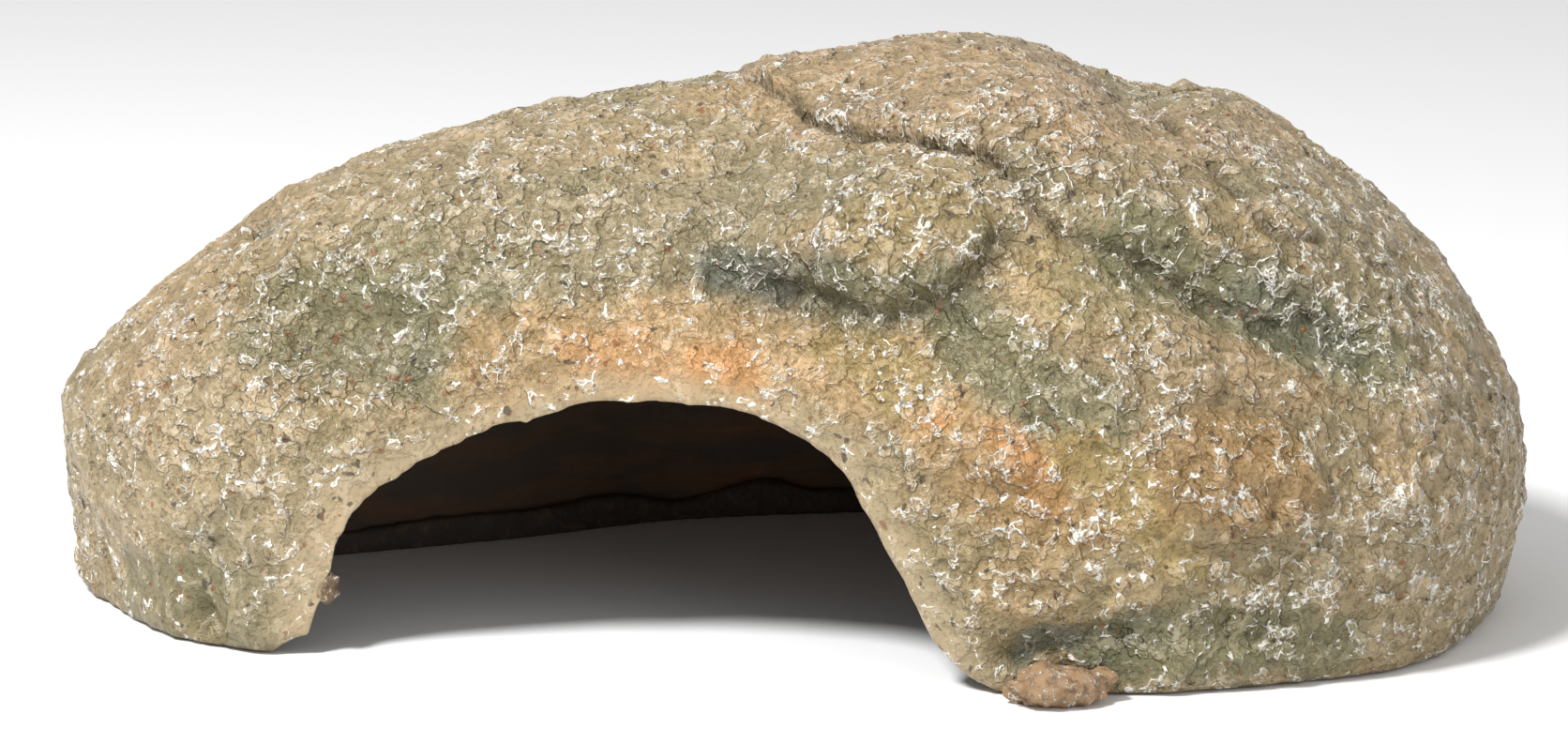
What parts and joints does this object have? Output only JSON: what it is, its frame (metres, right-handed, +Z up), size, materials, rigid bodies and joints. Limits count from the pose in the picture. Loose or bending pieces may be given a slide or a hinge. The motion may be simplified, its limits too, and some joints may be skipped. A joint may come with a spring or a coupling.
{
  "type": "resin cave ornament",
  "caption": "Hollow resin rock with an arched mouth in its front and an open floor, a hide for a terrarium, aquarium or pond.",
  "frame": {"origin": "middle of the footprint's bounding box, on the surface that the rock stands on", "axes": "+X along the rock, from its low narrow end to its high broad end; -Y out of the mouth; +Z up"},
  "size_m": [0.243, 0.1466, 0.0929],
  "materials": {
    "sandstone_paint": "hand-painted sandstone over cast polyester resin, dry-brushed white, thin varnish",
    "dark_backing": "dark brown coat brushed on the inside, matt",
    "rim_resin": "hand-laid resin bead, dark brown, matt",
    "chip_paint": "hand-painted stone chip, matt",
    "pebble_paint": "hand-painted stone crumb, matt",
    "crumb_paint": "hand-painted stone crumb, matt"
  },
  "bodies": {
    "root": {"rock_shell": "sandstone_paint", "inner_lining": "dark_backing", "rim_bead": "rim_resin", "foot_stone": "chip_paint", "crest_pebble": "pebble_paint", "leg_crumb": "crumb_paint"}
  },
  "joints": []
}
